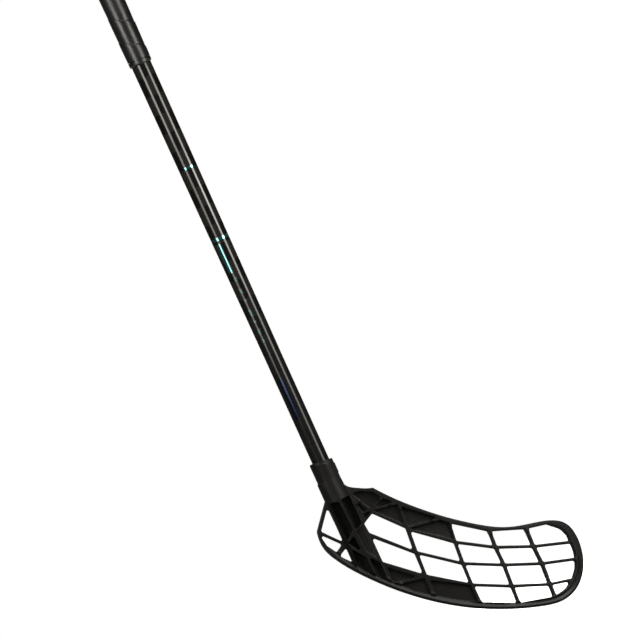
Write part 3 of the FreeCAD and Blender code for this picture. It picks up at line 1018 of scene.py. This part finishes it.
@dataclass
class ButtPlug:
    """The plug in the tube's top, with a flat cap and two grooves round its side."""

    finish: Finish
    plug_radius: float = 10.04 * MM
    plug_wall: float = 2.2 * MM
    plug_lead: float = 1.5 * MM
    mouth_share: float = 0.98
    groove: float = 0.35 * MM
    groove_shares: Pair = (0.28, 0.5)
    seat_gap: float = 0.05 * MM
    top_edge: Pairs = ((0.0, 1.4 * MM), (0.4 * MM, 0.6 * MM), (1.4 * MM, 0.0))
    edge_round: float = 0.2 * MM
    edge_degrees: float = 40.0
    crisp_degrees: float = 50.0
    sides: int = 96

    def build(self) -> None:
        """Model the plug and dress it."""
        low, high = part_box("butt_cap")
        cap_radius = high.x
        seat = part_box("shaft_tube")[1].z
        cap_foot = seat + self.seat_gap
        cap_tall = high.z - cap_foot
        hollow = self.plug_radius - self.plug_wall
        grooves = []
        for share in self.groove_shares:
            middle = cap_foot + share * cap_tall
            grooves += [
                (cap_radius, middle - self.groove), (cap_radius - self.groove, middle),
                (cap_radius, middle + self.groove),
            ]
        cap = turned("butt_plug_cap", [
            (hollow * self.mouth_share, seat),
            (hollow, seat - self.groove),
            (hollow, low.z),
            (self.plug_radius - self.plug_lead, low.z),
            (self.plug_radius, low.z + self.plug_lead),
            (self.plug_radius, cap_foot),
            (cap_radius, cap_foot),
            *grooves,
            *((cap_radius - inward, high.z - down) for inward, down in self.top_edge),
        ], self.sides)
        bevel(cap, self.edge_round, segments=2, degrees=self.edge_degrees)
        smooth(cap, self.crisp_degrees)
        settle(cap, Body.PLUG, Slot.CAP, self.finish, "butt_cap")


@dataclass
class FixingScrew:
    """The screw that pins the socket to the tube: pan head, cross recess and a coarse pointed thread."""

    finish: Finish
    seat: float = 12.15 * MM
    head_radius: float = 3.5 * MM
    head_tall: float = 2.05 * MM
    head_shares: Pairs = (
        (0.92, 0.0), (1.0, 0.12), (1.0, 0.36), (0.965, 0.52), (0.89, 0.68), (0.76, 0.82), (0.58, 0.92),
        (0.36, 0.98), (0.14, 1.0),
    )
    root: float = 1.2 * MM
    crest: float = 1.7 * MM
    pitch: float = 1.2 * MM
    thread_shares: Pairs = (
        (0.0, 0.0), (0.42, 0.0), (0.66, 0.92), (0.71, 1.0), (0.76, 0.92), (1.0, 0.0),
    )
    spare_turns: int = 3
    in_head_share: float = 0.2
    trim_room: float = 0.1 * MM
    shank: float = 9.0 * MM
    point: float = 2.6 * MM
    point_radius: float = 0.2 * MM
    recess_long: float = 3.9 * MM
    recess_wide: float = 0.9 * MM
    recess_deep: float = 1.4 * MM
    recess_taper: float = 0.55
    sides: int = 64
    crisp_degrees: float = 40.0

    def build(self) -> None:
        """Model the screw upright, lay it in its pocket and dress it."""
        rings = [(out * self.head_radius, up * self.head_tall) for out, up in self.head_shares]
        screw = turned("pan_head_screw", rings, self.sides)
        for turn in (0.0, math.pi / 2):
            combine(screw, "DIFFERENCE", self._recess_arm(turn))
        combine(screw, "UNION", self._thread())
        lay_along_y(screw, Vector((0, self.seat, SCREW_LEVEL)))
        smooth(screw, self.crisp_degrees)
        settle(screw, Body.SCREW, Slot.SCREW, self.finish, "blade_screw")

    def _recess_arm(self, turn: float) -> Piece:
        """Make one tapered arm of the recess's cross.

        Args:
            turn: how far it is turned about Z.

        Returns:
            The tool that cuts it.
        """
        bpy.ops.mesh.primitive_cube_add(
            size=1.0, location=(0, 0, self.head_tall), rotation=(0, 0, turn),
            scale=(self.recess_long, self.recess_wide, 2 * self.recess_deep),
        )
        arm = bpy.context.object
        bpy.ops.object.transform_apply(location=True, rotation=True, scale=True)
        enter("EDIT")
        bpy.ops.mesh.select_all(action="DESELECT")
        enter("OBJECT")
        for face in arm.data.polygons:
            face.select = round(face.normal.z) == -1
        enter("EDIT")
        bpy.ops.transform.resize(value=(self.recess_taper, self.recess_taper, 1), center_override=(0, 0, 0))
        enter("OBJECT")
        return arm

    def _thread(self) -> Piece:
        """Wind the thread and trim it to a point.

        Returns:
            The threaded shank, with its top inside the head.
        """
        inside = self.in_head_share * self.head_tall
        turns = math.ceil(self.shank / self.pitch) + self.spare_turns
        section = [
            (self.root + proud * (self.crest - self.root), -self.shank - self.pitch * (2 - along))
            for along, proud in self.thread_shares
        ]
        foot = -self.shank - self.pitch / 2
        thread = wound("thread", section, self.pitch, turns, self.sides, foot, inside)
        reach = self.crest + self.trim_room
        trim = turned("point_tool", [
            (self.point_radius, -self.shank),
            (reach, self.point - self.shank),
            (reach, 2 * inside),
        ], self.sides)
        combine(thread, "INTERSECT", trim)
        return thread


@dataclass(frozen=True)
class StripStand:
    """Strip lamps one above another, each with its foot, top and radiance, at one angle round the tube.

    The angle starts at the camera and grows to the right. Named pieces are the only ones lit.
    """

    name: str
    degrees: float
    strips: tuple[Triple, ...]
    pieces: tuple[str, ...] = ()


@dataclass(frozen=True)
class FlatLamp:
    """A flat lamp: where it hangs, its width, height and power. Named pieces are the only ones lit."""

    name: str
    stand: Triple
    wide: float
    tall: float
    power: float
    pieces: tuple[str, ...] = ()
    mirrored: bool = True

    def hang(self, aim: Vector) -> Piece:
        """Put the lamp up.

        Args:
            aim: the direction that it shines in.

        Returns:
            The lamp.
        """
        data = bpy.data.lights.new(self.name, "AREA")
        data.shape = "RECTANGLE"
        data.size = self.wide
        data.size_y = self.tall
        data.energy = self.power
        lamp = bpy.data.objects.new(self.name, data)
        bpy.context.scene.collection.objects.link(lamp)
        turn = aim.to_track_quat("-Z", "Y").to_matrix()
        lamp.matrix_world = Matrix.Translation(self.stand) @ turn.to_4x4()
        lamp.visible_glossy = self.mirrored
        if self.pieces:
            lit = bpy.data.collections.new(lamp.name + "_lit")
            for piece in self.pieces:
                lit.objects.link(bpy.data.objects[piece])
            lamp.light_linking.receiver_collection = lit
        return lamp


ROUND_PIECES = ("tube", "wound_band", "tape_ring", "butt_plug_cap")
FAR_STRIPS = ((-1.1, 0.4, 1.6),)


@dataclass
class Studio:
    """The floor, the lamps, the world and the camera."""

    yaw: float = math.radians(7.5)
    lean: float = math.radians(24.35)
    distance: float = 24.0
    clip_end: float = 500.0
    view_width: float = 711.1 * MM
    centre_across: float = 64.0 * MM
    centre_height: float = -598.9 * MM
    floor_span: float = 12.0
    floor_gap: float = 0.5 * MM
    floor_roughness: float = 0.9
    pale: Colour = (0.9, 0.9, 0.9)
    dim: Colour = (0.12, 0.12, 0.12)
    near_glow: float = 0.55
    glow_reach: Pair = (0.3, 1.2)
    far_gloss: float = 0.22
    gloss_reach: Pair = (0.7, 1.6)
    world_gloss: Pair = (0.02, 0.4)
    gloss_turn: Pair = (0.85, 1.0)
    world_fill: float = 0.35
    strip_distance: float = 1.3
    strip_width: float = 0.46
    strip_colour: Colour = (1.0, 0.975, 0.92)
    stands: tuple[StripStand, ...] = (
        StripStand("strip_right", 48.5, (
            (-0.25, 0.6, 2.6), (-0.37, -0.25, 6.2), (-0.45, -0.37, 11.0), (-0.54, -0.45, 6.8),
            (-0.65, -0.54, 3.7), (-1.15, -0.65, 2.6),
        )),
        StripStand("strip_left", -33.0, (
            (-0.25, 0.6, 6.0), (-0.34, -0.25, 5.7), (-0.5, -0.34, 3.4), (-0.62, -0.5, 2.6),
            (-0.665, -0.62, 1.5),
        )),
        StripStand("strip_far_right", 169.0, FAR_STRIPS, ROUND_PIECES),
        StripStand("strip_far_left", -169.0, FAR_STRIPS, ROUND_PIECES),
    )
    boxes: tuple[FlatLamp, ...] = (
        FlatLamp("soft_box", (0.5, -1.4, 1.6), 2.0, 1.4, 12.0),
        FlatLamp("top_box", (0.1, 0.9, 1.2), 2.4, 1.2, 14.0),
        FlatLamp("sole_box", (0.95, -0.6, 0.24), 1.1, 0.7, 11.0, ("lattice_blade",)),
        FlatLamp("back_fill", (0.1, 1.9, -0.2), 2.6, 1.6, 36.0, mirrored=False),
    )
    box_aim: Triple = (0.05, 0.0, -0.6)

    def build(self) -> None:
        """Set up everything round the object."""
        self._floor()
        self._lamps()
        self._world()
        self._camera()
        bpy.context.scene.view_settings.view_transform = "Standard"

    @property
    def look(self) -> Vector:
        """The direction that the camera looks in."""
        return Vector((math.sin(self.yaw), math.cos(self.yaw), 0))

    @property
    def right(self) -> Vector:
        """The level direction to the right of the camera's look."""
        return Vector((math.cos(self.yaw), -math.sin(self.yaw), 0))

    def _camera(self) -> None:
        """Put the camera at the photograph's angle, rolled so that the tube leans."""
        data = bpy.data.cameras.new("camera")
        data.lens = data.sensor_width * self.distance / self.view_width
        data.clip_end = self.clip_end
        camera = bpy.data.objects.new("camera", data)
        bpy.context.scene.collection.objects.link(camera)
        up = Vector((0, 0, 1))
        image_right = self.right * math.cos(self.lean) - up * math.sin(self.lean)
        image_up = self.right * math.sin(self.lean) + up * math.cos(self.lean)
        centre = self.right * self.centre_across + up * self.centre_height
        turn = Matrix((image_right, image_up, -self.look)).transposed()
        camera.matrix_world = Matrix.Translation(centre - self.look * self.distance) @ turn.to_4x4()
        bpy.context.scene.camera = camera

    def _floor(self) -> None:
        """Lay a plain pale floor just under the blade. Reflections show it dark nearby and paler far off."""
        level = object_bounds()[0].z - self.floor_gap
        bpy.ops.mesh.primitive_plane_add(size=self.floor_span, location=(0, 0, level))
        floor = bpy.context.object
        floor.name = "floor"
        material, board, shader = new_finish("pale_floor")
        path = board.node("ShaderNodeLightPath").outputs
        seen = board.math("MAXIMUM", path["Is Camera Ray"], path["Is Transmission Ray"])
        reach = board.node("ShaderNodeVectorMath", board.place(), operation="LENGTH")
        glow = board.ramp(reach.outputs["Value"], *self.glow_reach, self.near_glow, 1.0)
        far = board.ramp(reach.outputs["Value"], *self.gloss_reach, 0.0, self.far_gloss)
        mirrored = board.math("MULTIPLY", path["Is Glossy Ray"], far)
        board.fill(shader, {
            "Base Color": board.mix(seen, self.dim, self.pale),
            "Roughness": self.floor_roughness,
            "Specular IOR Level": 0.0,
            "Emission Color": board.math("MULTIPLY_ADD", seen, glow, mirrored),
            "Emission Strength": 1.0,
        })
        floor.data.materials.append(material)
        floor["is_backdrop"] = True

    def _lamps(self) -> None:
        """Stand the strips beside and behind the tube, and hang the soft boxes."""
        for stand in self.stands:
            turn = math.radians(stand.degrees)
            away = self.right * math.sin(turn) - self.look * math.cos(turn)
            for low, high, bright in stand.strips:
                place = away * self.strip_distance + Vector((0, 0, (low + high) / 2))
                power = bright * math.pi * self.strip_width * (high - low)
                strip = FlatLamp(stand.name, tuple(place), self.strip_width, high - low, power, stand.pieces)
                strip.hang(-away).data.color = self.strip_colour
        for box in self.boxes:
            box.hang(Vector(self.box_aim) - Vector(box.stand))

    def _world(self) -> None:
        """Make the surroundings white to the eye and dim to the object, paler behind it than in front."""
        world = bpy.data.worlds.new("studio")
        bpy.context.scene.world = world
        world.use_nodes = True
        board = Board(world.node_tree)
        path = board.node("ShaderNodeLightPath").outputs
        toward = board.node("ShaderNodeSeparateXYZ", board.node("ShaderNodeTexCoord").outputs["Generated"])
        behind = board.ramp(toward.outputs["Y"], *self.gloss_turn, *self.world_gloss)
        level = board.math("MULTIPLY", path["Is Glossy Ray"], behind)
        level = board.math("ADD", level, board.math("MULTIPLY", path["Is Diffuse Ray"], self.world_fill))
        seen = board.math("MAXIMUM", path["Is Camera Ray"], path["Is Transmission Ray"])
        strength = board.math("MAXIMUM", level, seen)
        board.fill(world.node_tree.nodes["Background"], {"Color": (1.0, 1.0, 1.0), "Strength": strength})


def main() -> None:
    """Build and dress the pieces, then the studio round them."""
    logging.basicConfig(level=logging.INFO, format="%(message)s")
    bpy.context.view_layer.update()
    effects = Effects()
    Shaft(ShaftLacquer(effects).build()).build()
    # The cloudy colour is what sharp edges are painted with: a paler painted edge highlight, with rubbed
    # wear.
    blade_plastic = MouldedPlastic(
        effects, Slot.BLADE, colour=(0.0105, 0.0102, 0.0086), cloudy=(0.016, 0.0156, 0.0135),
        roughness=(0.31, 0.45),
    )
    Blade(blade_plastic.build()).build()
    tape = GripBand(effects, Slot.TAPE, grain=2400.0)
    Grip(GripBand(effects, Slot.GRIP).build(), tape.build()).build()
    # The cloudy colour is what sharp edges are painted with: a paler painted edge highlight, with rubbed
    # wear.
    cap_plastic = MouldedPlastic(
        effects, Slot.CAP, colour=(0.013, 0.013, 0.0135), cloudy=(0.03, 0.03, 0.03),
        roughness=(0.43, 0.57),
    )
    ButtPlug(cap_plastic.build()).build()
    FixingScrew(ScrewSteel(effects).build()).build()
    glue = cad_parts["hosel_adhesive"]
    glue.data.materials.clear()
    glue.data.materials.append(HotMelt(effects).build())
    LOG.info("hosel_adhesive: keeps its solid")
    Studio().build()


if __name__ == "__main__":
    main()
